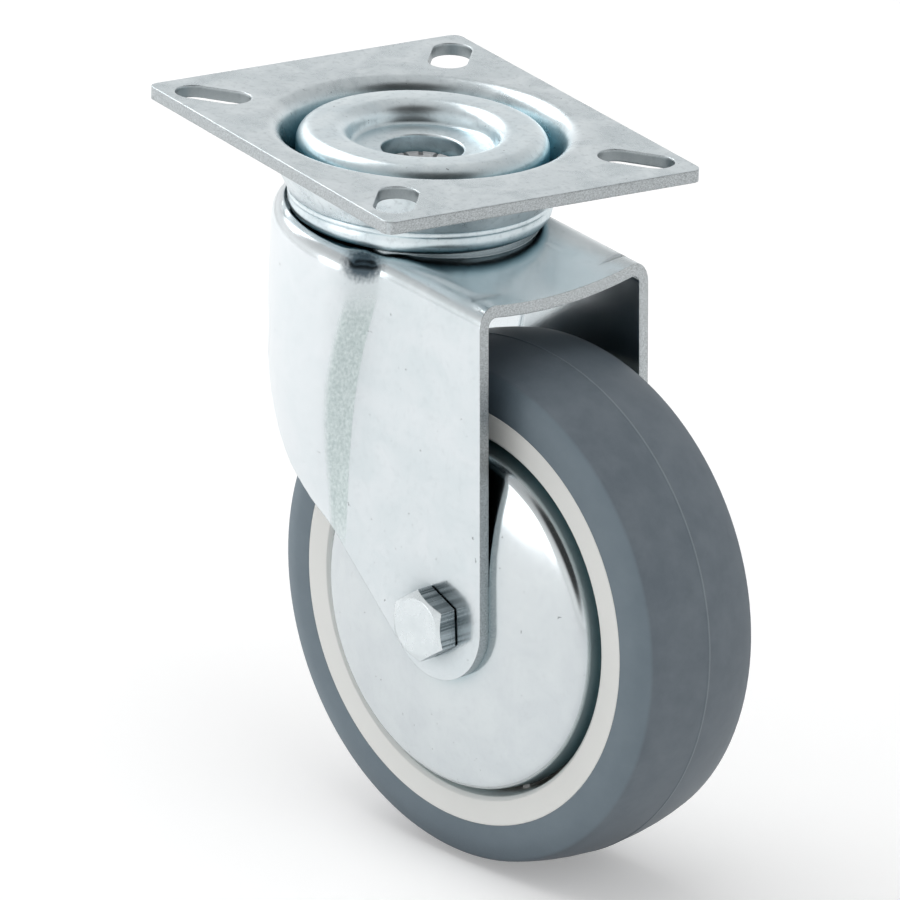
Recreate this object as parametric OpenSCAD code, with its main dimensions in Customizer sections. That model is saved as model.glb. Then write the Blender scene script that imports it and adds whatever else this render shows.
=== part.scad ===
// Swivel castor, 125 mm, with a slotted top plate, a pressed fork and a soft tyred wheel.
// The origin lies on the swivel axis, level with the top of the plate. Z points up and
// X runs along the long side of the plate. All lengths are in millimetres.

/* [Top plate] */
// Length of the plate
plate_l = 106; // [100:0.5:112]
// Width of the plate
plate_w = 86; // [80:0.5:92]
// Thickness of the plate sheet
plate_t = 3; // [2.5:0.1:3.2]
// Radius of the plate corners
plate_corner_r = 2.5; // [1:0.5:8]
// Distance between slot centres along the plate
slot_span_x = 80.4; // [76:0.2:84]
// Distance between slot centres across the plate
slot_span_y = 65.6; // [62:0.2:68]
// Width of each slot
slot_w = 9.5; // [7:0.1:10]
// Length of each slot from end to end
slot_l = 18.5; // [14:0.1:19]
// Radius where the plate starts to turn down around the swivel head
recess_r = 37.3; // [36.8:0.1:38]

/* [Swivel head] */
// Outer radius of the upright wall of the swivel cup
cup_r = 29.6; // [29.4:0.1:29.8]
// Outer radius of the bead round the lower rim of the cup
bead_r = 31.1; // [30.8:0.1:31.2]
// Depth of the cup rim below the top of the plate
cup_depth = 20.8; // [20.4:0.1:20.9]
// Thickness of the cup sheet
cup_t = 2.3; // [2.1:0.1:2.4]
// Radius of the hole in the dish of the cup
dish_hole_r = 9.6; // [9.3:0.1:10]
// Diameter of the balls in the upper race
main_ball_d = 7; // [6.6:0.1:7.1]
// Number of balls in the upper race
main_ball_n = 18; // [12:1:18]
// Diameter of the balls in the lower race
low_ball_d = 6; // [5.6:0.1:6]
// Number of balls in the lower race
low_ball_n = 16; // [10:1:17]
// Radius of the bore through the kingpin
kingpin_bore_r = 5.6; // [4:0.1:6]

/* [Fork] */
// Height from the axle to the top of the plate
axle_drop = 105.1; // [104.6:0.1:106]
// Distance of the axle behind the swivel axis
trail = 37.7; // [36:0.1:39]
// Turn of the fork from the long side of the plate, as it stands at rest
fork_turn = 12.3; // [0:0.1:90]
// Half of the outer width of the fork at its flat cheeks
fork_half_w = 27.6; // [27:0.1:28.5]
// Thickness of the fork sheet
fork_t = 2.9; // [2.5:0.1:3]
// Outer radius of the bend between the crown and the cheeks
bend_r = 5.5; // [4.5:0.1:6.5]
// How far the round hood stands out from the flat cheeks
hood_bulge = 7; // [4:0.1:7.2]
// Fall of the crown towards the front, in mm per mm
crown_fall = 0.105; // [0.09:0.005:0.11]
// Dip of the crown in the middle of its front edge
crown_dip = 2.3; // [0:0.1:2.6]
// Radius of the rounded end around the axle
lobe_r = 14.5; // [13:0.1:15]

/* [Wheel] */
// Diameter of the wheel
wheel_d = 125; // [122:0.5:127]
// Width of the wheel across its faces
wheel_w = 36; // [35:0.5:37]
// Outer radius of the white lip
lip_out_r = 51.25; // [49:0.25:53]
// Inner radius of the white lip
lip_in_r = 45; // [44.5:0.1:46]
// Radius of the thread guards
guard_r = 43; // [41:0.1:43.4]

/* [Axle] */
// Diameter of the axle bolt
bolt_d = 9.5; // [9:0.1:9.6]
// Width across the flats of the bolt head and the nut
hex_af = 15.2; // [13:0.1:16]
// Height of the bolt head
head_h = 5.8; // [5:0.1:6.5]
// Height of the lock nut
nut_h = 9.2; // [8:0.1:10]

/* [Hidden] */

zinc = "gainsboro";
steel = "silver";
cheek_in = fork_half_w - fork_t;

// Arc of points around c, for profiles
function arc(c, r, a0, a1, n = 8) =
    [for (i = [0:n]) [c[0] + r * cos(a0 + (a1 - a0) * i / n),
                      c[1] + r * sin(a0 + (a1 - a0) * i / n)]];
function clamp(v, lo = 0, hi = 1) = min(max(v, lo), hi);
// Smooth step from 0 to 1
function ease(v) = let (c = clamp(v)) c * c * (3 - 2 * c);

// Round solid of a profile, around the Z axis
module turned(profile, fn = 96) rotate_extrude($fn = fn) polygon(profile);

// Frame of the fork, turned about the swivel axis
module in_fork() rotate([0, 0, fork_turn]) children();
// Frame of the wheel: the axle runs along Z and the near side is +Z
module on_axle() in_fork() translate([trail, 0, -axle_drop]) rotate([90, 0, 0]) children();
// The same piece on the far side of the wheel
module far_side() mirror([0, 0, 1]) children();

// Top plate

// Slots point at the swivel axis
slot_a = atan2(slot_span_y, slot_span_x);
bowl_z = -15.1;

module slot_2d() {
    hull_l = slot_l - slot_w;
    square([hull_l, slot_w], center = true);
    for (s = [-1, 1]) translate([s * hull_l / 2, 0]) circle(d = slot_w, $fn = 48);
}

module plate_2d() {
    square([plate_l - 2 * plate_corner_r, plate_w], center = true);
    square([plate_l, plate_w - 2 * plate_corner_r], center = true);
    for (sx = [-1, 1], sy = [-1, 1])
        translate([sx * (plate_l / 2 - plate_corner_r), sy * (plate_w / 2 - plate_corner_r)])
            circle(r = plate_corner_r, $fn = 48);
}

// The sheet turns down in a bowl that grips the wall of the cup
module top_plate() color(zinc) {
    difference() {
        translate([0, 0, -plate_t]) linear_extrude(plate_t) plate_2d();
        translate([0, 0, -plate_t - 1]) cylinder(r = recess_r + 3.5, h = plate_t + 2, $fn = 96);
        for (sx = [-1, 1], sy = [-1, 1])
            translate([sx * slot_span_x / 2, sy * slot_span_y / 2, -plate_t - 1])
                rotate(sx * sy * slot_a) linear_extrude(plate_t + 2) slot_2d();
    }
    turned(concat(
        [[recess_r + 4, -plate_t], [recess_r + 4, 0]],
        arc([recess_r, -4.3], 4.3, 90, 163, 10),
        [[cup_r, -12], [cup_r, bowl_z], [cup_r + 1.6, bowl_z]],
        arc([recess_r + 1.6, -plate_t - 2.2], 2.2, 155, 90, 6)
    ));
}

// Swivel head, plate side

ring_top = -0.2;
ring_in_r = 21.3;
shoulder_r = 4;
dish_z = -5.2;
dish_r = 15.8;
neck_z = -12.6;
bead_curl = 3.4;
bead_c = [bead_r - 0.1 - bead_curl, -cup_depth + bead_curl * sin(62)];

// One pressed piece: rim bead, ledge, wall, raised ring, dish and the neck round the kingpin
module swivel_cup() color(zinc)
    turned(concat(
        [[dish_hole_r - 0.9, neck_z], [dish_hole_r + cup_t, neck_z]],
        arc([dish_hole_r + cup_t + 1.6, dish_z - cup_t - 1.6], 1.6, 180, 90, 5),
        arc([dish_r, dish_z + 1.5], cup_t + 1.5, 270, 330, 6),
        arc([ring_in_r, ring_top - shoulder_r], shoulder_r - cup_t, 150, 90, 4),
        arc([cup_r - shoulder_r, ring_top - shoulder_r], shoulder_r - cup_t, 90, 0, 4),
        [[cup_r - cup_t, bowl_z - 0.5], [bead_c[0] + bead_curl - cup_t, bowl_z - 1.8]],
        arc(bead_c, bead_curl - cup_t, 0, -62, 4),
        arc(bead_c, bead_curl, -62, 0, 8),
        [[bead_r - 0.4, bowl_z - 1.6], [bead_r, bowl_z - 1.2], [bead_r, bowl_z - 0.4]],
        arc([bead_r - 0.4, bowl_z - 0.4], 0.4, 30, 90, 3),
        [[cup_r, bowl_z]],
        arc([cup_r - shoulder_r, ring_top - shoulder_r], shoulder_r, 0, 90, 12),
        arc([ring_in_r, ring_top - shoulder_r], shoulder_r, 90, 150, 8),
        arc([dish_r, dish_z + 1.5], 1.5, 330, 270, 6),
        arc([dish_hole_r + 0.5, dish_z - 0.5], 0.5, 90, 180, 4),
        [[dish_hole_r, neck_z + 2], [dish_hole_r - 0.9, neck_z + 2]]
    ));

kingpin_r = dish_hole_r - 1;
ledge_z = neck_z + 2;
flange_z = -25.6;

// Hollow rivet, spread over the neck of the cup at its top
module kingpin() color(steel) difference() {
    turned([
        [kingpin_bore_r, flange_z - 2.6], [12.4, flange_z - 2.6], [13, flange_z - 2],
        [13, flange_z], [kingpin_r, flange_z], [kingpin_r, ledge_z],
        [dish_hole_r - 0.2, ledge_z], [dish_hole_r - 0.3, ledge_z + 0.9],
        [kingpin_r - 0.6, ledge_z + 1.7], [kingpin_bore_r + 1, ledge_z + 1.5],
        [kingpin_bore_r, ledge_z + 0.6]
    ], 72);
    // Marks of the spreading tool
    for (i = [0:11]) rotate(i * 30)
        translate([kingpin_bore_r + 0.7, -0.5, ledge_z + 0.7]) cube([2.4, 1, 3]);
}

low_race_r = 16.8;
low_floor_z = flange_z + 2.5;

// Cup below the crown that carries the lower balls
module lower_cup() color(steel) difference() {
    turned([
        [kingpin_r, flange_z], [18, flange_z], [20.6, flange_z + 1.6], [21.4, flange_z + 6.4],
        [19.6, flange_z + 6.4], [19.2, flange_z + 3.4], [17.4, low_floor_z],
        [kingpin_r, low_floor_z]
    ], 72);
    rotate_extrude($fn = 72) translate([low_race_r, low_floor_z + low_ball_d / 2 - 0.6])
        circle(d = low_ball_d, $fn = 32);
}

module lower_balls() color(steel)
    for (i = [0:low_ball_n - 1]) rotate(i * 360 / low_ball_n)
        translate([low_race_r, 0, low_floor_z + low_ball_d / 2 - 0.6])
            sphere(d = low_ball_d, $fn = 32);

// Fork

seat_z = -21.2;
seat_r = 31.7;
boss_r = cup_r - cup_t - 0.4;
ball_z = ring_top - cup_t - main_ball_d / 2 - 0.3;
boss_top = ball_z - main_ball_d / 2 + 1;
race_r = boss_r - main_ball_d / 2 + 0.1;
low_race_top = low_floor_z - 0.6 + low_ball_d + 0.2;

front_lean = 0.064;
front_x0 = 53.07;
lobe_c = [38.5, 0.6];
rear_c = [17.4, 51.5];
rear_r = 38;
skirt_h = 66;
skirt_fillet = 8;
box_x = 60;

// Heights in the fork are measured up from the axle
function swell(h) = hood_bulge * sin(90 * clamp((h - 13) / 44));
function flank_x(h) = 6.5 + 0.11 * min(h, 75);
function flank_w(h) = 1.55 * (4 + 0.09 * clamp(66 - h, 0, 60));
function crown_h(x, y) = axle_drop - 19.8 - crown_fall * x
    - crown_dip * ease((x - 27) / 21) * clamp(1 - pow(y / 25, 2));

// Half outline of the hood and cheeks at height h, moved inwards by d
function half_outline(h, d) =
    let (w = fork_half_w - d,
         r = fork_half_w + swell(h) - d,
         x0 = flank_x(h) - d * 0.5 + 1.2,
         fw = flank_w(h),
         x1 = x0 - fw,
         a1 = acos(x1 / r))
    concat(
        [for (y = [0, 7, 14, 20]) [box_x - d, y]],
        [for (x = [box_x - d, 50, 45, 40, 35, 30, 25, 20]) [x, w]],
        [for (i = [0:9]) let (x = x0 - fw * i / 9)
            [x, w + (sqrt(r * r - x * x) - w) * ease(i / 9)]],
        [for (i = [1:16]) let (a = a1 + (180 - a1) * i / 16) [r * cos(a), r * sin(a)]]
    );
function outline(h, d) =
    let (half = half_outline(h, d), n = len(half))
    concat(half, [for (i = [n - 2:-1:1]) [half[i][0], -half[i][1]]]);

wall_hs = [-20, 12, 18, 25, 32, 40, 49, 60, 69];
bend_as = [0, 13, 26, 39, 52, 65, 78, 90];
crown_ks = [0.93, 0.86, 0.79, 0.72, 0.65, 0.55, 0.3];

// One skin as rings from the bottom up: walls, bend, crown. d is 0 outside, fork_t inside
function roof_h(x, y, d) = d == 0 ? crown_h(x, y)
    : min(crown_h(x, y), axle_drop + seat_z) - d;
function skin(d) =
    let (br = bend_r - d)
    concat(
        [for (h = wall_hs) [for (p = outline(h, d)) [p[0], p[1], h]]],
        [for (a = bend_as) [for (p = outline(75, d + br * (1 - cos(a))))
            [p[0], p[1], roof_h(p[0], p[1], d) - br * (1 - sin(a))]]],
        [for (k = crown_ks) [for (p = outline(75, d + br))
            [p[0] * k, p[1] * k, roof_h(p[0] * k, p[1] * k, d)]]]
    );

// Hood with a closed front, cut to shape later
module hood_blank() {
    outer = skin(0);
    inner = skin(fork_t);
    m = len(outer);
    n = len(outer[0]);
    pts = concat([for (ring = outer) each ring], [for (ring = inner) each ring],
                 [[0, 0, roof_h(0, 0, 0)], [0, 0, roof_h(0, 0, fork_t)]]);
    base = m * n;
    faces = concat(
        [for (i = [0:m - 2], j = [0:n - 1]) each
            let (a = i * n + j, b = i * n + (j + 1) % n, c = b + n, e = a + n)
            [[a, c, b], [a, e, c]]],
        [for (i = [0:m - 2], j = [0:n - 1]) each
            let (a = base + i * n + j, b = base + i * n + (j + 1) % n, c = b + n, e = a + n)
            [[a, b, c], [a, c, e]]],
        [for (j = [0:n - 1]) each
            let (a = j, b = (j + 1) % n, c = base + b, e = base + a)
            [[a, b, c], [a, c, e]]],
        [for (j = [0:n - 1]) let (a = (m - 1) * n + j, b = (m - 1) * n + (j + 1) % n)
            [a, 2 * base, b]],
        [for (j = [0:n - 1]) let (a = base + (m - 1) * n + j, b = base + (m - 1) * n + (j + 1) % n)
            [a, b, 2 * base + 1]]
    );
    polyhedron(pts, faces);
}

// Side view of the fork, in X and height above the axle
module side_2d() {
    dist = norm(rear_c - lobe_c);
    dir = atan2(rear_c[1] - lobe_c[1], rear_c[0] - lobe_c[0]);
    tan_a = dir + acos((lobe_r - rear_r) / dist);
    n = [cos(tan_a), sin(tan_a)];
    rear_x = rear_c[0] - rear_r;
    difference() {
        union() {
            translate(lobe_c) circle(r = lobe_r, $fn = 72);
            translate(rear_c) circle(r = rear_r, $fn = 96);
            polygon([lobe_c + lobe_r * n, lobe_c, [front_x0 + 4, lobe_c[1]], [front_x0 + 4, 95],
                     rear_c, rear_c + rear_r * n]);
            translate([rear_x, rear_c[1]]) square([box_x, 50]);
            translate([-50, skirt_h]) square([60, 40]);
            difference() {
                translate([rear_x - skirt_fillet, skirt_h - skirt_fillet])
                    square(skirt_fillet + 0.01);
                translate([rear_x - skirt_fillet, skirt_h - skirt_fillet])
                    circle(r = skirt_fillet, $fn = 48);
            }
        }
        // Front edge leans forward to the axle
        front = lobe_c[0] + lobe_c[1] * front_lean
            + lobe_r * sqrt(1 + front_lean * front_lean);
        polygon([[front - front_lean * lobe_c[1], lobe_c[1]], [front - front_lean * 110, 110],
                 [100, 110], [100, lobe_c[1]]]);
    }
}

// Race in the crown: outer wall, ball track, step down and the inner shelf
module boss_profile() {
    t = fork_t;
    shelf = low_race_top + t;
    polygon(concat(
        [[boss_r - t, seat_z - t - 0.2], [boss_r + 1.5, seat_z - t - 0.2], [boss_r + 1.5, seat_z]],
        arc([boss_r + 1.5, seat_z + 1.5], 1.5, 270, 180, 5),
        arc([boss_r - 1.5, boss_top - 1.5], 1.5, 0, 90, 5),
        arc([20.2, boss_top - 1.2], 1.2, 90, 145, 4),
        arc([18.2, shelf + 1], 1, 305, 270, 4),
        [[13, shelf], [13, low_race_top], [19, low_race_top]],
        [[21.5, boss_top - t], [boss_r - t - 0.6, boss_top - t], [boss_r - t, boss_top - t - 0.6]]
    ));
}

module fork() color(zinc) in_fork() difference() {
    union() {
        difference() {
            translate([0, 0, -axle_drop]) intersection() {
                hood_blank();
                rotate([90, 0, 0]) linear_extrude(90, center = true) side_2d();
            }
            // Level seat under the rim of the swivel cup
            translate([0, 0, seat_z]) cylinder(r = seat_r, h = 20, $fn = 96);
            translate([0, 0, -60]) cylinder(r = boss_r - 1, h = 60, $fn = 96);
        }
        rotate_extrude($fn = 96) boss_profile();
    }
    // Upper ball track
    rotate_extrude($fn = 96) translate([race_r, ball_z])
        circle(d = main_ball_d, $fn = 40);
    // Axle holes
    translate([trail, 0, -axle_drop]) rotate([90, 0, 0])
        cylinder(d = bolt_d + 0.2, h = 90, center = true, $fn = 64);
}

module main_balls() color(steel) in_fork()
    for (i = [0:main_ball_n - 1]) rotate(i * 360 / main_ball_n)
        translate([race_r, 0, ball_z])
            sphere(d = main_ball_d, $fn = 40);

// Seal that closes the gap between the cup and the crown boss
module dust_ring() color("dimgray") in_fork()
    turned([[boss_r, -17], [boss_r + 0.8, -17.4], [boss_r + 0.8, -19.4], [boss_r, -19.2]]);

// Wheel and axle. Profiles give the radius and the distance from the middle of the wheel

face = wheel_w / 2;
tyre_r = wheel_d / 2;
bearing_r = 14;
bearing_w = 8;
bearing_out = 17;
tube_r = 6;
clamp_z = cheek_in - 1;

// Thread guard: a disc pressed out to the cheek at its middle, that falls away in a dome to
// its rounded rim. The height of the dome at a radius, and the points of one of its sides:
guard_flat_r = 18;
function guard_z(r) = cheek_in - 3.56 * pow(clamp((r - guard_flat_r) / 22.2, 0, 2), 1.8);
function guard_side(d) =
    let (rim = guard_r - 3.63)
    concat(
        [for (r = [guard_flat_r, 22, 26, 30, 34, 38]) [r, guard_z(r) - d]],
        arc([rim, guard_z(40.2) - 2.88], 3 - d, 74, 0, 8));

module guard_shape() color(zinc) difference() {
    outer = guard_side(0);
    inner = guard_side(1);
    turned(concat(
        [[0, clamp_z]], inner, [[guard_r - 1, 13.4], [guard_r, 13.6]],
        [for (i = [len(outer) - 1:-1:0]) outer[i]], [[0, cheek_in]]
    ));
    cylinder(d = bolt_d + 0.2, h = 60, center = true, $fn = 64);
}
module guard_near() on_axle() guard_shape();
module guard_far() on_axle() far_side() guard_shape();

module hexagon(af) circle(d = af / cos(30), $fn = 6);

// Hexagon with its outer corners turned off and a round washer face below
module hex_head(af, h) intersection() {
    linear_extrude(h) rotate(36) hexagon(af);
    turned([[0, 0], [af * 0.455, 0], [af * 0.455, 0.4], [af / cos(30) / 2 + 0.1, 0.4],
            [af / cos(30) / 2 + 0.1, h - 1.25], [af * 0.445, h], [0, h]], 64);
}

module axle_bolt() color(steel) on_axle() {
    translate([0, 0, fork_half_w]) hex_head(hex_af, head_h);
    translate([0, 0, -fork_half_w - 13.4])
        turned([[0, 0], [bolt_d / 2 - 0.9, 0], [bolt_d / 2, 0.9],
                [bolt_d / 2, 2 * fork_half_w + 13.5], [0, 2 * fork_half_w + 13.5]], 64);
}

nut_face = fork_half_w + 1.6;

module washer_far() color(zinc) on_axle() far_side()
    turned([[bolt_d / 2 + 0.1, fork_half_w], [9.4, fork_half_w], [9.4, nut_face - 0.3],
            [9.1, nut_face], [bolt_d / 2 + 0.1, nut_face]], 64);

// Lock nut with a collar that holds the nylon ring
module lock_nut() color(steel) on_axle() far_side() difference() {
    translate([0, 0, nut_face]) union() {
        intersection() {
            linear_extrude(6.6) rotate(12) hexagon(hex_af);
            turned([[0, 0], [hex_af * 0.47, 0], [hex_af / cos(30) / 2 + 0.1, 0.9],
                    [hex_af / cos(30) / 2 + 0.1, 6], [hex_af * 0.49, 6.6], [0, 6.6]], 64);
        }
        turned([[0, 6.5], [6.6, 6.5], [6.6, nut_h - 1.2], [5.9, nut_h], [0, nut_h]], 64);
    }
    translate([0, 0, nut_face - 1]) cylinder(d = bolt_d, h = 20, $fn = 64);
    translate([0, 0, nut_face + 6.4]) cylinder(r = 5.7, h = 2, $fn = 64);
}

module nut_insert() color("white") on_axle() far_side()
    translate([0, 0, nut_face + 6.4])
        turned([[bolt_d / 2, 0], [5.7, 0], [5.7, 2], [bolt_d / 2, 2]], 64);

module ring(r0, r1, z0, z1, c = 0.4)
    turned([[r0, z0], [r1 - c, z0], [r1, z0 + c], [r1, z1 - c], [r1 - c, z1], [r0, z1]], 64);

module axle_tube() color(steel) on_axle()
    ring(bolt_d / 2 + 0.1, tube_r, -clamp_z, clamp_z, 0);
module bearing_spacer() color(steel) on_axle()
    ring(tube_r, 7.8, -bearing_out + bearing_w, bearing_out - bearing_w, 0.3);
module bush_shape() ring(tube_r, 8.4, bearing_out, clamp_z, 0.3);
module bush_near() color(zinc) on_axle() bush_shape();
module bush_far() color(zinc) on_axle() far_side() bush_shape();

bearing_mid = bearing_out - bearing_w / 2;
ball_pitch = 10;
bearing_ball_d = 4.6;

module bearing_inner_shape() color(steel) difference() {
    ring(tube_r, 8.5, bearing_out - bearing_w, bearing_out, 0.4);
    rotate_extrude($fn = 64) translate([ball_pitch, bearing_mid])
        circle(d = bearing_ball_d + 0.2, $fn = 40);
}
module bearing_outer_shape() color(steel) difference() {
    turned([[11.5, bearing_out - bearing_w], [bearing_r - 0.4, bearing_out - bearing_w],
            [bearing_r, bearing_out - bearing_w + 0.4], [bearing_r, bearing_out - 0.4],
            [bearing_r - 0.4, bearing_out], [11.5, bearing_out],
            [11.5, bearing_out - 0.3], [12, bearing_out - 0.3], [12, bearing_out - 1.1],
            [11.5, bearing_out - 1.1]], 64);
    rotate_extrude($fn = 64) translate([ball_pitch, bearing_mid])
        circle(d = bearing_ball_d, $fn = 40);
}
module bearing_balls_shape() color(steel)
    for (i = [0:8]) rotate(i * 40) translate([ball_pitch, 0, bearing_mid])
        sphere(d = bearing_ball_d, $fn = 32);
module bearing_seal_shape() color("black")
    turned([[8.8, bearing_out - 1], [12, bearing_out - 1.1], [12, bearing_out - 0.3],
            [8.8, bearing_out - 0.4]], 64);
module bearing_inner_near() on_axle() bearing_inner_shape();
module bearing_inner_far() on_axle() far_side() bearing_inner_shape();
module bearing_outer_near() on_axle() bearing_outer_shape();
module bearing_outer_far() on_axle() far_side() bearing_outer_shape();
module bearing_balls_near() on_axle() bearing_balls_shape();
module bearing_balls_far() on_axle() far_side() bearing_balls_shape();
module bearing_seal_near() on_axle() bearing_seal_shape();
module bearing_seal_far() on_axle() far_side() bearing_seal_shape();

hub_r = 19;
hub_out = 17.2;
web_half = 2.6;
rim_in_r = 43.9;
bed_r = 52.6;

// Half of the rim and web, from the middle of the wheel outwards
function centre_side(s) = [
    [bearing_r - 1.6, s * (bearing_out - bearing_w)], [bearing_r, s * (bearing_out - bearing_w)],
    [bearing_r, s * hub_out], [hub_r - 0.8, s * hub_out], [hub_r, s * (hub_out - 0.8)],
    [hub_r + 0.8, s * (web_half + 2)], [hub_r + 2.8, s * web_half],
    [rim_in_r - 2.6, s * web_half], [rim_in_r - 0.6, s * (web_half + 2)],
    [rim_in_r, s * 10], [lip_in_r - 0.5, s * (face - 0.9)], [lip_in_r + 0.4, s * face],
    [lip_out_r, s * face], [lip_out_r, s * (face - 1.6)],
    [bed_r, s * (face - 3.2)], [bed_r, s * 6], [bed_r - 1.6, s * 4.6]];

// White wheel centre with ribs behind the guards
module wheel_centre() color("whitesmoke") on_axle() {
    up = centre_side(1);
    down = centre_side(-1);
    turned(concat(up, [for (i = [len(down) - 1:-1:0]) down[i]]));
    difference() {
        for (i = [0:7], s = [-1, 1]) rotate(i * 45 + 22.5)
            translate([hub_r - 0.5, -1.2, s > 0 ? web_half - 0.5 : -11]) cube([26, 2.4, 11.5 - web_half]);
        difference() {
            cylinder(r = 60, h = 60, center = true, $fn = 96);
            cylinder(r = rim_in_r + 0.2, h = 61, center = true, $fn = 96);
        }
    }
}

// Soft tyre, moulded over the bed of the wheel centre, with a parting line round its middle
function tread_r(y) = tyre_r - 2.1 * pow(y / 16, 2);
function tyre_side(s) = concat(
    [[lip_out_r, s * face], [tyre_r - 9.5, s * face], [tyre_r - 7, s * (face - 0.12)],
     [tyre_r - 5.4, s * (face - 0.42)], [tyre_r - 3, s * (face - 1.36)],
     [tyre_r - 2.55, s * (face - 1.6)], [tyre_r - 2.25, s * (face - 1.85)]],
    [for (y = [15.9, 13, 10, 6, 3, 0.35]) [tread_r(y), s * y]],
    [[tyre_r + 0.16, s * 0.1]]);
module tyre() color("slategray") on_axle() {
    up = tyre_side(1);
    down = tyre_side(-1);
    turned(concat(
        up, [for (i = [len(down) - 1:-1:0]) down[i]],
        [[lip_out_r, -face + 1.6], [bed_r, -face + 3.2], [bed_r, -6], [bed_r - 1.6, -4.6],
         [bed_r - 1.6, 4.6], [bed_r, 6], [bed_r, face - 3.2], [lip_out_r, face - 1.6]]));
}

top_plate();
swivel_cup();
kingpin();
lower_cup();
lower_balls();
fork();
main_balls();
dust_ring();
guard_near();
guard_far();
axle_bolt();
lock_nut();
nut_insert();
washer_far();
axle_tube();
bearing_spacer();
bush_near();
bush_far();
bearing_inner_near();
bearing_inner_far();
wheel_centre();
tyre();
bearing_outer_near();
bearing_outer_far();
bearing_balls_near();
bearing_balls_far();
bearing_seal_near();
bearing_seal_far();
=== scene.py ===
import math
import bmesh
import bpy
from mathutils import Matrix, Vector


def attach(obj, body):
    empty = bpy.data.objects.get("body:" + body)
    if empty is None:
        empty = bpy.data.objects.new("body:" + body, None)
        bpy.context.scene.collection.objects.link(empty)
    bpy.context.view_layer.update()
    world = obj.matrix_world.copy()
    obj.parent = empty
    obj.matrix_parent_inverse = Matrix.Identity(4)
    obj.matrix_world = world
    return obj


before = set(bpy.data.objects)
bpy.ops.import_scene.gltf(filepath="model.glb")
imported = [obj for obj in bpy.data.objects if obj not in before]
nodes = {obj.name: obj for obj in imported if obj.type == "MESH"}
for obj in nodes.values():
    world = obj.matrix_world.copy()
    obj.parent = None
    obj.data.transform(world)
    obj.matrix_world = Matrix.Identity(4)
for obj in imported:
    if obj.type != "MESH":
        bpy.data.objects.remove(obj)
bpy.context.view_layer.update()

scene = bpy.context.scene

# Lengths are in mm and angles in degrees, in the part's frame, unless a comment says otherwise.
MM = 0.001
FORK_TURN = 12.3  # of the fork at rest, about the swivel axis, from +X towards +Y
TRAIL = 37.7  # from the swivel axis to the axle
AXLE_DROP = 105.1  # from the top of the plate down to the axle
WHEEL_R = 62.5
FLOOR_Z = -(AXLE_DROP + WHEEL_R)
PLATE_X, PLATE_Y = 53.0, 43.0  # from the swivel axis to the plate's sides


def aimed(az, el):
    """A direction: az 0 is from -Y and 90 from +X, el is above the horizon."""
    a, e = math.radians(az), math.radians(el)
    return Vector((math.sin(a) * math.cos(e), -math.cos(a) * math.cos(e), math.sin(e)))


def add_object(name, data):
    o = bpy.data.objects.new(name, data)
    scene.collection.objects.link(o)
    return o


def feed(tree, socket, value):
    """Links a socket to another one, or sets its value."""
    if isinstance(value, bpy.types.NodeSocket):
        tree.links.new(value, socket)
    else:
        socket.default_value = value


def set_stops(color_ramp, stops):
    """Gives a colour ramp its stops, each a place with a grey level or a colour."""
    elements = color_ramp.elements
    while len(elements) < len(stops):
        elements.new(0.5)
    for element, (place, colour) in zip(elements, stops):
        element.position = place
        element.color = colour if hasattr(colour, "__len__") else (colour, colour, colour, 1)


# Camera, fitted to the photograph. Its numbers are in the frame of the fork, and the height is
# from the axle.

CAMERA_AZ, CAMERA_EL, CAMERA_ROLL = 44.364, 20.789, 2.716
CAMERA_AIM = (20, 0, 35)
CAMERA_BACK, CAMERA_SIDE, CAMERA_UP = 2800, -4.79, -4.067  # from the aim
CAMERA_LENS, CAMERA_SENSOR = 480, 36
CAMERA_END = 100  # in m


def make_camera():
    az, roll = math.radians(CAMERA_AZ), math.radians(CAMERA_ROLL)
    back = aimed(CAMERA_AZ, CAMERA_EL)
    right = Vector((math.cos(az), math.sin(az), 0))
    up = back.cross(right)
    side = math.cos(roll) * right + math.sin(roll) * up
    top = -math.sin(roll) * right + math.cos(roll) * up
    place = Vector(CAMERA_AIM) + back * CAMERA_BACK + side * CAMERA_SIDE + top * CAMERA_UP
    fork = Matrix.Rotation(math.radians(FORK_TURN), 3, "Z")
    place = fork @ place - Vector((0, 0, AXLE_DROP))
    turn = Matrix([fork @ v for v in (side, top, back)]).transposed().to_4x4()
    data = bpy.data.cameras.new("camera")
    data.lens = CAMERA_LENS
    data.sensor_width = CAMERA_SENSOR
    data.sensor_fit = "HORIZONTAL"
    data.clip_end = CAMERA_END
    camera = add_object("camera", data)
    camera.matrix_world = Matrix.Translation(place * MM) @ turn
    scene.camera = camera


make_camera()
scene.view_settings.view_transform = "Standard"


# Smooth shading of the CAD nodes, with the real edges kept

WELD = 0.04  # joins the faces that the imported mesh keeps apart
SHARP_ANGLE = 28


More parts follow.
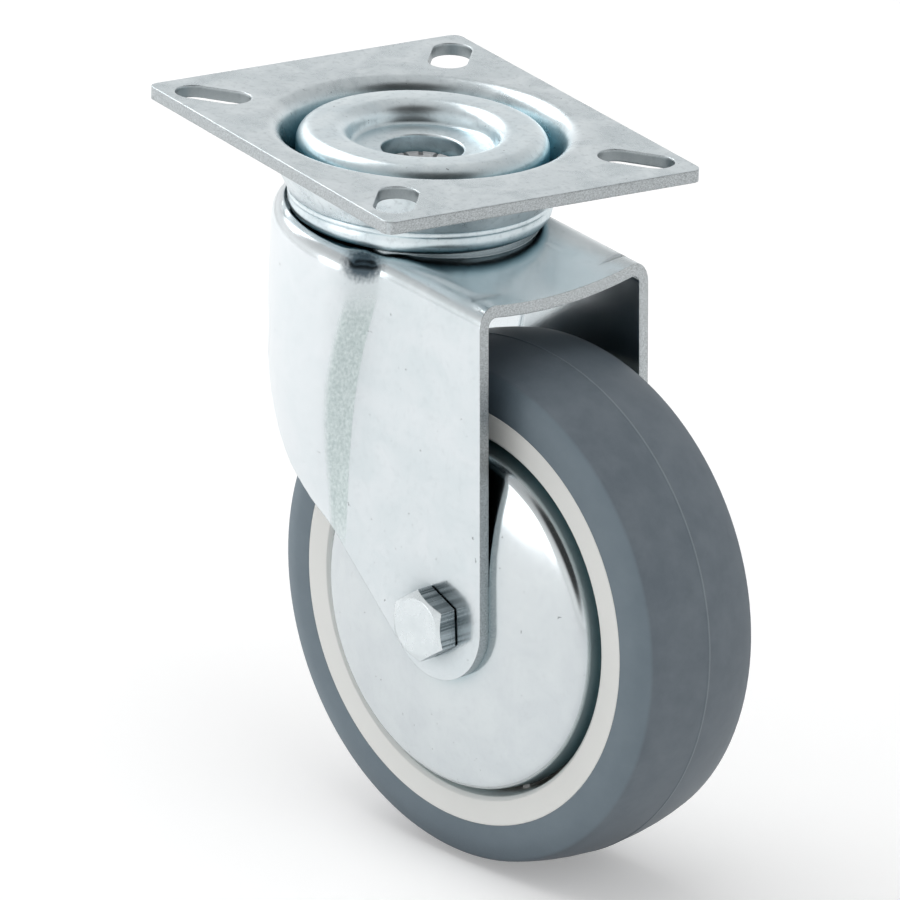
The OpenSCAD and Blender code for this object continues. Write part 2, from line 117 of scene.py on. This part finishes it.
def smooth_tree():
    t = bpy.data.node_groups.new("smooth", "GeometryNodeTree")
    for way in ("INPUT", "OUTPUT"):
        t.interface.new_socket("Geometry", in_out=way, socket_type="NodeSocketGeometry")
    start, end = t.nodes.new("NodeGroupInput"), t.nodes.new("NodeGroupOutput")
    weld = t.nodes.new("GeometryNodeMergeByDistance")
    weld.inputs["Distance"].default_value = WELD * MM
    bare = t.nodes.new("GeometryNodeRemoveAttribute")
    bare.inputs["Name"].default_value = "custom_normal"
    faces = t.nodes.new("GeometryNodeSetShadeSmooth")
    faces.inputs["Shade Smooth"].default_value = True
    edges = t.nodes.new("GeometryNodeSetShadeSmooth")
    edges.domain = "EDGE"
    edges.inputs["Shade Smooth"].default_value = False
    between = t.nodes.new("GeometryNodeInputMeshEdgeAngle")
    sharp = t.nodes.new("FunctionNodeCompare")
    sharp.data_type = "FLOAT"
    sharp.operation = "GREATER_THAN"
    sharp.inputs["B"].default_value = math.radians(SHARP_ANGLE)
    t.links.new(between.outputs["Unsigned Angle"], sharp.inputs["A"])
    t.links.new(sharp.outputs["Result"], edges.inputs["Selection"])
    chain = [start, weld, bare, faces, edges, end]
    for a, b in zip(chain, chain[1:]):
        t.links.new(a.outputs[0], b.inputs[0])
    return t


# Materials

def lin(level):
    """A level of 0 to 255 of a screen colour, as linear light."""
    c = level / 255
    return c / 12.92 if c <= 0.04045 else ((c + 0.055) / 1.055) ** 2.4


def rgb(r, g, b):
    return (lin(r), lin(g), lin(b), 1)


# The colour sockets of the Mix node, by number because other sockets have the same names
MIX_A, MIX_B, MIX_RESULT = 6, 7, 2
RAY_SAMPLES = 6  # of the soft edges and the hollows


class Mat:
    """A material with short helpers for its nodes."""

    def __init__(self, name, **shader):
        self.material = bpy.data.materials.new(name)
        self.material.use_nodes = True
        self.tree = self.material.node_tree
        self.shader = self.tree.nodes["Principled BSDF"]
        for key, value in shader.items():
            self.shader.inputs[key.replace("_", " ")].default_value = value

    def add(self, kind, **props):
        n = self.tree.nodes.new(kind)
        for key, value in props.items():
            setattr(n, key, value)
        return n

    def put(self, socket, value):
        feed(self.tree, socket, value)

    def to(self, key, value):
        self.put(self.shader.inputs[key], value)

    def mapped(self, vec, key, value):
        n = self.add("ShaderNodeMapping", vector_type="POINT")
        self.put(n.inputs["Vector"], vec)
        n.inputs[key].default_value = value
        return n.outputs["Vector"]

    def place(self, turn=0.0, scale=(1, 1, 1)):
        """Where the surface is, in m, turned about the swivel axis and then stretched."""
        vec = self.add("ShaderNodeTexCoord").outputs["Object"]
        vec = self.mapped(vec, "Rotation", (0, 0, math.radians(turn)))
        return self.mapped(vec, "Scale", scale)

    def place_mm(self, turn=0.0):
        """The same as x, y and z in mm."""
        return self.split(self.place(turn, (1 / MM, 1 / MM, 1 / MM)))

    def normal(self, turn=0.0):
        """The surface's own normal as x, y and z, turned about the swivel axis."""
        vec = self.add("ShaderNodeTexCoord").outputs["Normal"]
        return self.split(self.mapped(vec, "Rotation", (0, 0, math.radians(turn))))

    def split(self, vec):
        n = self.add("ShaderNodeSeparateXYZ")
        self.put(n.inputs[0], vec)
        return n.outputs

    def noise(self, scale, detail=3.0, rough=0.5, vec=None, distort=0.0):
        n = self.add("ShaderNodeTexNoise")
        self.put(n.inputs["Vector"], vec or self.place())
        n.inputs["Scale"].default_value = scale
        n.inputs["Detail"].default_value = detail
        n.inputs["Roughness"].default_value = rough
        n.inputs["Distortion"].default_value = distort
        return n.outputs["Fac"]

    def ramp(self, fac, *stops):
        n = self.add("ShaderNodeValToRGB")
        self.put(n.inputs["Fac"], fac)
        set_stops(n.color_ramp, stops)
        return n.outputs["Color"]

    def mix(self, fac, a, b, kind="MIX"):
        n = self.add("ShaderNodeMix", data_type="RGBA", blend_type=kind)
        self.put(n.inputs["Factor"], fac)
        self.put(n.inputs[MIX_A], a)
        self.put(n.inputs[MIX_B], b)
        return n.outputs[MIX_RESULT]

    def math(self, op, a, b=0.0, clamp=False):
        n = self.add("ShaderNodeMath", operation=op, use_clamp=clamp)
        self.put(n.inputs[0], a)
        self.put(n.inputs[1], b)
        return n.outputs[0]

    def plus(self, a, b):
        return self.math("ADD", a, b)

    def minus(self, a, b):
        return self.math("SUBTRACT", a, b)

    def times(self, *factors):
        product = factors[0]
        for factor in factors[1:]:
            product = self.math("MULTIPLY", product, factor)
        return product

    def absolute(self, a):
        return self.math("ABSOLUTE", a)

    def length(self, *sides):
        """The root of the sum of the squares."""
        total = 0.0
        for side in sides:
            total = self.plus(self.times(side, side), total)
        return self.math("SQRT", total)

    def step(self, value, low, high):
        """0 below low, 1 above high, smooth between. A low above high falls instead."""
        n = self.add("ShaderNodeMapRange", interpolation_type="SMOOTHSTEP")
        self.put(n.inputs["Value"], value)
        n.inputs["From Min"].default_value = min(low, high)
        n.inputs["From Max"].default_value = max(low, high)
        n.inputs["To Min"].default_value = 0 if low < high else 1
        n.inputs["To Max"].default_value = 1 if low < high else 0
        return n.outputs["Result"]

    def bump(self, height, strength, depth, normal=None):
        """A bump of a depth in mm on top of another normal."""
        n = self.add("ShaderNodeBump")
        self.put(n.inputs["Height"], height)
        n.inputs["Strength"].default_value = strength
        n.inputs["Distance"].default_value = depth * MM
        if normal:
            self.put(n.inputs["Normal"], normal)
        return n.outputs["Normal"]

    def soft_edge(self, radius):
        """The normal with rounded edges. The radius is in m, because it may come from nodes."""
        n = self.add("ShaderNodeBevel", samples=RAY_SAMPLES)
        self.put(n.inputs["Radius"], radius)
        return n.outputs["Normal"]

    def open_air(self, reach):
        """1 in the open, down to 0 in a hollow, judged by what lies within reach, in mm."""
        n = self.add("ShaderNodeAmbientOcclusion", samples=RAY_SAMPLES)
        n.inputs["Distance"].default_value = reach * MM
        return n.outputs["AO"]


# Masks of the zinc plated pieces, 1 where they apply

RIM_IN = 0.6  # from the plate's sides to where its rim begins
CROWN_X, CROWN_Z = 47.4, -28.0  # the crown's front corners are behind the one, above the other


def fork_cut(m):
    """Where the fork's sheet was cut: its front, rear and lobe edges, but not those corners."""
    nx, ny, nz = m.normal(-FORK_TURN)
    x, _, z = m.place_mm(-FORK_TURN)
    thin = m.step(m.absolute(ny), 0.45, 0.2)
    low = m.times(m.step(nz, -0.15, -0.35), m.step(z, CROWN_Z, CROWN_Z - 2.0))
    corners = m.times(m.step(x, CROWN_X, CROWN_X - 0.4), m.step(z, CROWN_Z, CROWN_Z + 0.5))
    front = m.times(m.step(nx, 0.35, 0.6), m.minus(1.0, corners))
    return m.times(thin, m.math("MAXIMUM", front, low))


def plate_cut(m):
    """The sheared rim of the plate, and half as strongly the walls of its slots."""
    nz = m.normal()[2]
    x, y, _ = m.place_mm()
    rim_x = m.step(m.absolute(x), PLATE_X - RIM_IN, PLATE_X - RIM_IN / 2)
    rim_y = m.step(m.absolute(y), PLATE_Y - RIM_IN, PLATE_Y - RIM_IN / 2)
    rim = m.math("MAXIMUM", rim_x, rim_y)
    outside_bowl = m.step(m.length(x, y), 41.5, 42.2)
    upright = m.times(m.step(m.absolute(nz), 0.5, 0.25), outside_bowl)
    return m.times(upright, m.plus(m.times(rim, 0.5), 0.5))


def slot_walls(m):
    """The sides of the plate's four slots, on a surface that plate_cut has picked."""
    x, y, z = m.place_mm()
    inside_x = m.step(m.absolute(x), PLATE_X - RIM_IN, PLATE_X - RIM_IN - 0.4)
    inside_y = m.step(m.absolute(y), PLATE_Y - RIM_IN, PLATE_Y - RIM_IN - 0.4)
    return m.times(m.times(inside_x, inside_y), m.step(m.absolute(z), 0.2, 0.8))


def fork_band(m):
    """The stretched flank between the hood and the cheek, where the drawn sheet has a rough
    grain and a darker colour is painted as a painted reflection.
    """
    start, bend, rise_from = 5.5, 0.002, 14  # the band's middle is a parabola up the flank
    x, y, z = m.place_mm(-FORK_TURN)
    up = m.plus(z, AXLE_DROP - rise_from)
    middle = m.plus(m.times(up, up, bend), start)
    off = m.minus(x, middle)
    inside = m.times(m.step(off, -3.4, -1.6), m.step(off, 2.7, 2.2))
    outward = m.times(m.normal(-FORK_TURN)[1], m.math("SIGN", y))
    outer = m.times(m.step(m.absolute(y), 20, 22), m.step(outward, 0.0, 0.15))
    ends = m.times(m.step(up, 64, 52), m.step(up, -8, 4))
    return m.times(inside, outer, ends)


def painted_pocket_reflection(m, ragged):
    """A painted dark reflection at the top of each flank, where a small hollow is, with a ragged
    edge.
    """
    x, y, z = m.place_mm(-FORK_TURN)
    centre = (11.8, 29.8, -24.2)
    reach = (1.2, 1.2, 1.0)
    sides = [m.math("DIVIDE", m.minus(value, middle), spread)
             for value, middle, spread in zip((x, m.absolute(y), z), centre, reach)]
    away = m.plus(m.length(*sides), m.times(m.minus(ragged, 0.5), 2.4))
    return m.step(away, 5.0, 1.8)


EDGE_ROUND = 0.4
CORNER_ROUND, SHOULDER_ROUND = 2.6, 0.3  # added at the fork's corners and shoulders


def fork_round(m):
    """The radius in m of the fork's edges: wide at the crown's front corners."""
    x, y, z = m.place_mm(-FORK_TURN)
    wide = m.absolute(y)
    along = m.times(m.step(x, 36.0, 38.0), m.step(x, 47.0, 46.2))
    across = m.times(m.step(wide, 14.0, 17.0), m.step(z, -27.6, -26.6))
    corner = m.times(m.times(along, across), CORNER_ROUND * MM)
    from_shoulder = m.length(m.minus(x, 12.5), m.minus(wide, 29.0), m.minus(z, -23.5))
    shoulder = m.times(m.step(from_shoulder, 9.0, 5.0), SHOULDER_ROUND * MM)
    return m.plus(m.math("MAXIMUM", corner, shoulder), EDGE_ROUND * MM)


# What a zinc plated piece wears, and the fork's painted highlight and painted reflections: each
# takes and gives a colour, a roughness and a normal

def flank_grain_and_painted_light(m, col, rough, normal):
    """The fork's hood made paler as a painted highlight, its flank bands given a rough grain and
    painted darker as a painted reflection, and a painted dark reflection above each band.
    """
    peel = m.noise(1500, 3, 0.55, m.place(-FORK_TURN, (1, 1, 0.7)))
    hood = m.step(m.place_mm(-FORK_TURN)[0], 10, 2)
    # Painted highlight: the hood is made paler.
    col = m.mix(hood, col, m.mix(0.35, col, rgb(243, 247, 250)))
    band = fork_band(m)
    # Painted reflection: the band is painted darker, in a grain from the noise.
    band_grain_and_painted_reflection = m.mix(m.ramp(peel, (0.35, 0), (0.7, 1)), rgb(186, 199, 199), rgb(214, 224, 224))
    col = m.mix(band, col, band_grain_and_painted_reflection)
    # Painted dark reflection at the top of each flank.
    col = m.mix(painted_pocket_reflection(m, peel), col, rgb(104, 116, 124), "MULTIPLY")
    rough = m.plus(rough, m.times(band, 0.22))
    return col, rough, m.bump(m.times(peel, band), 0.5, 0.3, normal)


def torn_steel(m, cut, col, rough, normal):
    """The grey, torn steel of a cut edge."""
    torn = m.noise(3800, 4, 0.65, m.place(-FORK_TURN, (1, 0.6, 1)))
    raw = m.mix(m.ramp(torn, (0.34, 0), (0.60, 1)), rgb(150, 155, 157), rgb(205, 210, 212))
    col = m.mix(m.times(cut, 0.9), col, raw)
    rough = m.plus(rough, m.times(cut, 0.26))
    return col, rough, m.bump(m.times(torn, cut), 0.35, 0.15, normal)


def fork_edges(m, col, rough, normal):
    return torn_steel(m, fork_cut(m), col, rough, normal)


def plate_edges(m, col, rough, normal):
    cut = plate_cut(m)
    col, rough, normal = torn_steel(m, cut, col, rough, normal)
    wall = m.math("MULTIPLY", m.times(slot_walls(m), cut), 1.6, clamp=True)
    return m.mix(wall, col, rgb(138, 146, 149)), rough, normal


def zinc(name, light, dark, rough, mottled, grain, shade=rgb(150, 186, 194), reach=7,
         edge=None, wear_and_painted_light=()):
    """Bright zinc plating: cool grey clouds, fine spots, pits, and a painted teal shade that
    darkens the hollows.
    """
    m = Mat(name, Metallic=1.0)
    clouds = m.noise(95, 4, 0.6, distort=0.6)
    spots = m.ramp(m.noise(620, 5, 0.62), (0.52, 0), (0.70, 1))
    pits = m.ramp(m.noise(760, 2, 0.5, distort=0.4), (0.735, 0), (0.765, 1))
    col = m.mix(m.ramp(clouds, (0.36, 0), (0.66, 1)), dark, light)
    col = m.mix(m.times(spots, mottled), col, rgb(120, 128, 132))
    col = m.mix(m.times(pits, 0.6), col, rgb(96, 102, 106))
    # Painted shade: the hollows within reach, in mm, are darkened with the shade colour.
    col = m.mix(m.ramp(m.open_air(reach), (0.2, 1), (0.88, 0)), col, shade, "MULTIPLY")
    gloss = m.plus(m.times(clouds, 0.12), rough - 0.06)
    gloss = m.plus(gloss, m.times(spots, mottled * 0.35))
    wavy = m.bump(m.noise(70, 3, 0.5), 0.05, 0.6, m.soft_edge(edge(m) if edge else 0.7 * MM))
    normal = m.bump(m.noise(1500, 4, 0.6), grain, 0.12, wavy)
    look = (col, gloss, normal)
    for dressing in wear_and_painted_light:
        look = dressing(m, *look)
    for key, value in zip(("Base Color", "Roughness", "Normal"), look):
        m.to(key, value)
    return m.material


def turned_steel(name, light, dark, rough, rings, metal=1.0):
    """Plain or plated steel with fine machining lines round the axle."""
    m = Mat(name, Metallic=metal)
    clouds = m.noise(240, 4, 0.6)
    m.to("Base Color", m.mix(clouds, dark, light))
    m.to("Roughness", m.plus(m.times(clouds, 0.2), rough - 0.1))
    lines = m.noise(rings, 2, 0.5, m.place(-FORK_TURN, (0.04, 1, 0.04)))
    m.to("Normal", m.bump(lines, 0.25, 0.1, m.soft_edge(0.3 * MM)))
    return m.material


def bolt_steel(name):
    """Zinc plated bolt: a smooth pale face, and darker flats with drawn lines along the bolt."""
    m = Mat(name, Metallic=1.0)
    flat = m.step(m.absolute(m.normal(-FORK_TURN)[1]), 0.4, 0.2)
    clouds = m.noise(260, 4, 0.6)
    lines = m.noise(2100, 1, 0.5, m.place(-FORK_TURN, (1, 0.004, 1)))
    drawn = m.mix(m.ramp(lines, (0.38, 0), (0.6, 1)), rgb(112, 122, 126), rgb(186, 194, 198))
    pale = m.mix(clouds, rgb(206, 214, 217), rgb(232, 238, 240))
    m.to("Base Color", m.mix(flat, pale, drawn))
    m.to("Roughness", m.plus(m.times(clouds, 0.14), 0.2))
    fine = m.bump(m.noise(1300, 3, 0.6), 0.08, 0.1, m.soft_edge(0.3 * MM))
    m.to("Normal", m.bump(m.times(lines, flat), 0.25, 0.1, fine))
    return m.material


def grey_rubber(name):
    """The tyre: slate grey, dusty, with a paler sidewall and a thin parting line."""
    m = Mat(name, Specular_IOR_Level=0.42)
    axial = m.absolute(m.place_mm(-FORK_TURN)[1])
    dust = m.noise(130, 5, 0.6)
    tread = m.mix(m.ramp(dust, (0.35, 0), (0.75, 1)), rgb(103, 114, 123), rgb(118, 128, 136))
    sidewall = m.mix(dust, rgb(104, 119, 129), rgb(125, 139, 148))
    col = m.mix(m.step(axial, 16.0, 16.7), tread, sidewall)
    seam = m.step(axial, 0.30, 0.12)
    col = m.mix(m.times(seam, 0.45), col, rgb(156, 166, 172))
    shaded = m.ramp(m.open_air(30), (0.25, 1), (0.8, 0))
    col = m.mix(shaded, col, rgb(176, 184, 190), "MULTIPLY")
    specks = m.ramp(m.noise(1400, 3, 0.7), (0.66, 0), (0.78, 1))
    m.to("Base Color", m.mix(m.times(specks, 0.12), col, rgb(160, 168, 174)))
    m.to("Roughness", m.plus(m.times(dust, 0.22), 0.38))
    height = m.plus(m.times(m.noise(900, 4, 0.6), 0.25), seam)
    m.to("Normal", m.bump(height, 0.35, 0.15, m.soft_edge(0.5 * MM)))
    return m.material


def white_plastic(name):
    m = Mat(name)
    m.to("Base Color", m.mix(m.noise(60, 4, 0.5), rgb(240, 241, 238), rgb(246, 247, 244)))
    m.to("Roughness", m.plus(m.times(m.noise(500, 3, 0.6), 0.2), 0.34))
    m.to("Normal", m.bump(m.noise(700, 3, 0.5), 0.12, 0.1, m.soft_edge(0.5 * MM)))
    return m.material


def dark_rubber(name):
    m = Mat(name)
    cloud = m.noise(300, 4, 0.6)
    m.to("Base Color", m.mix(cloud, rgb(28, 29, 31), rgb(48, 50, 53)))
    m.to("Roughness", m.plus(m.times(cloud, 0.3), 0.4))
    m.to("Normal", m.bump(m.noise(1200, 3, 0.6), 0.2, 0.1))
    return m.material


def nylon(name):
    m = Mat(name)
    cloud = m.noise(400, 3, 0.5)
    m.to("Base Color", m.mix(cloud, rgb(202, 210, 216), rgb(224, 230, 234)))
    m.to("Roughness", m.plus(m.times(cloud, 0.2), 0.28))
    return m.material


plate_zinc = zinc("plate_zinc", rgb(226, 234, 237), rgb(202, 212, 216),
                  rough=0.28, mottled=0.22, grain=0.16, wear_and_painted_light=(plate_edges,))
fork_zinc = zinc("fork_zinc", rgb(219, 225, 228), rgb(212, 220, 223),
                 rough=0.19, mottled=0.06, grain=0.07, shade=rgb(78, 106, 114), reach=11,
                 edge=fork_round, wear_and_painted_light=(flank_grain_and_painted_light, fork_edges))
guard_zinc = zinc("guard_zinc", rgb(212, 218, 220), rgb(206, 212, 215),
                  rough=0.15, mottled=0.04, grain=0.05)
cup_zinc = zinc("cup_zinc", rgb(235, 244, 247), rgb(217, 229, 234),
                rough=0.30, mottled=0.20, grain=0.12, shade=rgb(140, 182, 192), reach=12)
head_steel = bolt_steel("head_steel")
pin_steel = turned_steel("pin_steel", rgb(216, 217, 218), rgb(176, 179, 181),
                         rough=0.55, rings=1100, metal=0.55)
race_steel = turned_steel("race_steel", rgb(190, 194, 196), rgb(130, 136, 140),
                          rough=0.34, rings=1600)
ball_steel = turned_steel("ball_steel", rgb(225, 226, 228), rgb(180, 184, 188),
                          rough=0.14, rings=900)
thread_steel = turned_steel("thread_steel", rgb(214, 219, 222), rgb(168, 175, 179),
                            rough=0.28, rings=1400)
seal_dark = dark_rubber("dark_rubber")

looks = (
    (plate_zinc, "top_plate washer_far"),
    (cup_zinc, "swivel_cup"),
    (pin_steel, "kingpin"),
    (fork_zinc, "fork"),
    (guard_zinc, "guard_near guard_far"),
    (head_steel, "axle_bolt lock_nut"),
    (nylon("nylon_blue"), "nut_insert"),
    (white_plastic("white_plastic"), "wheel_centre"),
    (grey_rubber("grey_rubber"), "tyre"),
    (race_steel, "lower_cup axle_tube bearing_spacer bush_near bush_far bearing_inner_near "
                 "bearing_inner_far bearing_outer_near bearing_outer_far"),
    (ball_steel, "lower_balls main_balls bearing_balls_near bearing_balls_far"),
    (seal_dark, "dust_ring bearing_seal_near bearing_seal_far"),
)
gentle = smooth_tree()
for look, names in looks:
    for name in names.split():
        piece = nodes[name]
        piece.data.materials.clear()
        piece.data.materials.append(look)
        piece.modifiers.new("smooth", "NODES").node_group = gentle


# The one piece beyond the CAD nodes

THREAD_START = 38.3  # along the axle, from the middle of the fork
THREAD_PITCH, THREAD_ROOT, THREAD_CREST = 1.25, 4.70, 4.96
THREAD_TURNS, THREAD_STEPS = 1.45, 48  # the steps are those of one turn
THREAD_FADE = 8  # steps in which the ridge rises and falls
THREAD_FOOT, THREAD_LAND = 0.42, 0.07  # half widths
THREAD_LEAST = 0.02  # height of the ridge at its ends


def bolt_thread():
    """The thread that shows past the lock nut, as a ridge wound round the end of the bolt."""
    mesh = bmesh.new()
    rows = []
    count = int(THREAD_TURNS * THREAD_STEPS)
    low = THREAD_ROOT + THREAD_LEAST
    for k in range(count + 1):
        a = 2 * math.pi * k / THREAD_STEPS
        y = THREAD_START + THREAD_PITCH * k / THREAD_STEPS
        rise = min(1.0, k / THREAD_FADE, (count - k) / THREAD_FADE)
        top = low + (THREAD_CREST - low) * rise
        profile = ((-THREAD_FOOT, THREAD_ROOT), (-THREAD_LAND, top),
                   (THREAD_LAND, top), (THREAD_FOOT, THREAD_ROOT))
        rows.append([mesh.verts.new((r * math.cos(a), y + off, r * math.sin(a)))
                     for off, r in profile])
    for a, b in zip(rows, rows[1:]):
        for i in range(4):
            j = (i + 1) % 4
            mesh.faces.new((a[i], a[j], b[j], b[i]))
    mesh.faces.new(rows[0])
    mesh.faces.new(tuple(reversed(rows[-1])))
    bmesh.ops.recalc_face_normals(mesh, faces=mesh.faces)
    turn = Matrix.Rotation(math.radians(FORK_TURN), 4, "Z")
    mesh.transform(Matrix.Scale(MM, 4) @ turn @ Matrix.Translation((TRAIL, 0, -AXLE_DROP)))
    data = bpy.data.meshes.new("bolt_thread")
    mesh.to_mesh(data)
    mesh.free()
    o = add_object("bolt_thread", data)
    data.materials.append(thread_steel)
    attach(o, "fork_body")


bolt_thread()


# Floor, world and lights

FLOOR_HALF = 6.0  # in m
FLOOR_GAP = 0.2  # between the tyre and the floor
FLOOR_GREYS = (0.80, 0.80, 0.80, 1), (0.82, 0.82, 0.82, 1)
FLOOR_GLOW = 0.28  # lifts the floor to white where it is seen, and lights nothing


def make_floor():
    mesh = bpy.data.meshes.new("floor")
    s = FLOOR_HALF
    z = (FLOOR_Z - FLOOR_GAP) * MM
    mesh.from_pydata([(-s, -s, z), (s, -s, z), (s, s, z), (-s, s, z)], [], [(0, 1, 2, 3)])
    floor = add_object("floor", mesh)
    m = Mat("floor", Roughness=0.9, Specular_IOR_Level=0.0)
    m.to("Base Color", m.mix(m.noise(4, 2), *FLOOR_GREYS))
    ray = m.add("ShaderNodeLightPath").outputs
    seen = m.math("MAXIMUM", ray["Is Camera Ray"], ray["Is Glossy Ray"])
    seen = m.math("MAXIMUM", seen, ray["Is Transmission Ray"])
    glow = m.add("ShaderNodeEmission")
    m.put(glow.inputs["Strength"], m.times(seen, FLOOR_GLOW))
    both = m.add("ShaderNodeAddShader")
    m.put(both.inputs[0], m.shader.outputs[0])
    m.put(both.inputs[1], glow.outputs[0])
    m.put(m.tree.nodes["Material Output"].inputs["Surface"], both.outputs[0])
    mesh.materials.append(m.material)


WORLD_LIGHT = 0.45  # what the world gives to all but the camera, mirrors and glass
WORLD_WHITE = 1.0
# What a mirror sees, by the height of the direction: 0 at the horizon and below, 1 overhead
TENT_STOPS = ((0.0, 1.0), (0.16, 0.97), (0.36, 0.78), (0.60, 0.62), (1.0, 0.58))
# A dark flag in that tent, high in front of the castor and to its right
FLAG_AZ, FLAG_EL = 76, 42
FLAG_INNER, FLAG_OUTER = 22, 40  # dark within the one angle from its middle, gone by the other
FLAG_LEVEL = 0.05


def make_world():
    """White to the camera. A mirror sees a white tent, dimmer overhead, with one dark flag."""
    world = bpy.data.worlds.new("studio")
    scene.world = world
    world.use_nodes = True
    t = world.node_tree
    ray = t.nodes.new("ShaderNodeLightPath").outputs
    way = t.nodes.new("ShaderNodeTexCoord").outputs["Generated"]

    def pick(fac, low, high):
        n = t.nodes.new("ShaderNodeMix")
        n.data_type = "FLOAT"
        for key, value in (("Factor", fac), ("A", low), ("B", high)):
            feed(t, n.inputs[key], value)
        return n.outputs["Result"]

    parts = t.nodes.new("ShaderNodeSeparateXYZ")
    t.links.new(way, parts.inputs[0])
    tent = t.nodes.new("ShaderNodeValToRGB")
    tent.color_ramp.interpolation = "EASE"
    set_stops(tent.color_ramp, TENT_STOPS)
    t.links.new(parts.outputs["Z"], tent.inputs["Fac"])

    toward = t.nodes.new("ShaderNodeVectorMath")
    toward.operation = "DOT_PRODUCT"
    t.links.new(way, toward.inputs[0])
    toward.inputs[1].default_value = aimed(FLAG_AZ, FLAG_EL)
    flag = t.nodes.new("ShaderNodeMapRange")
    flag.interpolation_type = "SMOOTHSTEP"
    t.links.new(toward.outputs["Value"], flag.inputs["Value"])
    flag.inputs["From Min"].default_value = math.cos(math.radians(FLAG_OUTER))
    flag.inputs["From Max"].default_value = math.cos(math.radians(FLAG_INNER))

    tent_level = pick(flag.outputs["Result"], tent.outputs["Color"], FLAG_LEVEL)
    level = pick(ray["Is Glossy Ray"], WORLD_LIGHT, tent_level)
    level = pick(ray["Is Transmission Ray"], level, WORLD_WHITE)
    level = pick(ray["Is Camera Ray"], level, WORLD_WHITE)
    back = t.nodes["Background"]
    back.inputs["Color"].default_value = (1, 1, 1, 1)
    t.links.new(level, back.inputs["Strength"])


LAMP_AIM = (0.02, 0.0, -0.08)  # in m


def lamp(name, az, el, dist, size, power, mirrored=True):
    """A square lamp, aimed at the castor. Its distance and size are in m, its power in W."""
    way = aimed(az, el)
    data = bpy.data.lights.new(name, "AREA")
    data.size = size
    data.energy = power
    o = add_object(name, data)
    o.visible_camera = False
    o.visible_glossy = mirrored
    o.location = Vector(LAMP_AIM) + way * dist
    o.rotation_euler = way.to_track_quat("Z", "Y").to_euler()


make_floor()
make_world()
lamp("key", az=-75, el=42, dist=1.3, size=0.9, power=6.5)
lamp("side", az=-55, el=10, dist=3.0, size=1.6, power=14.0, mirrored=False)
lamp("card", az=-8, el=4, dist=1.2, size=0.45, power=1.15)
lamp("fill", az=95, el=35, dist=3.0, size=1.8, power=7.6, mirrored=False)
lamp("top", az=30, el=82, dist=3.0, size=2.2, power=19.7, mirrored=False)
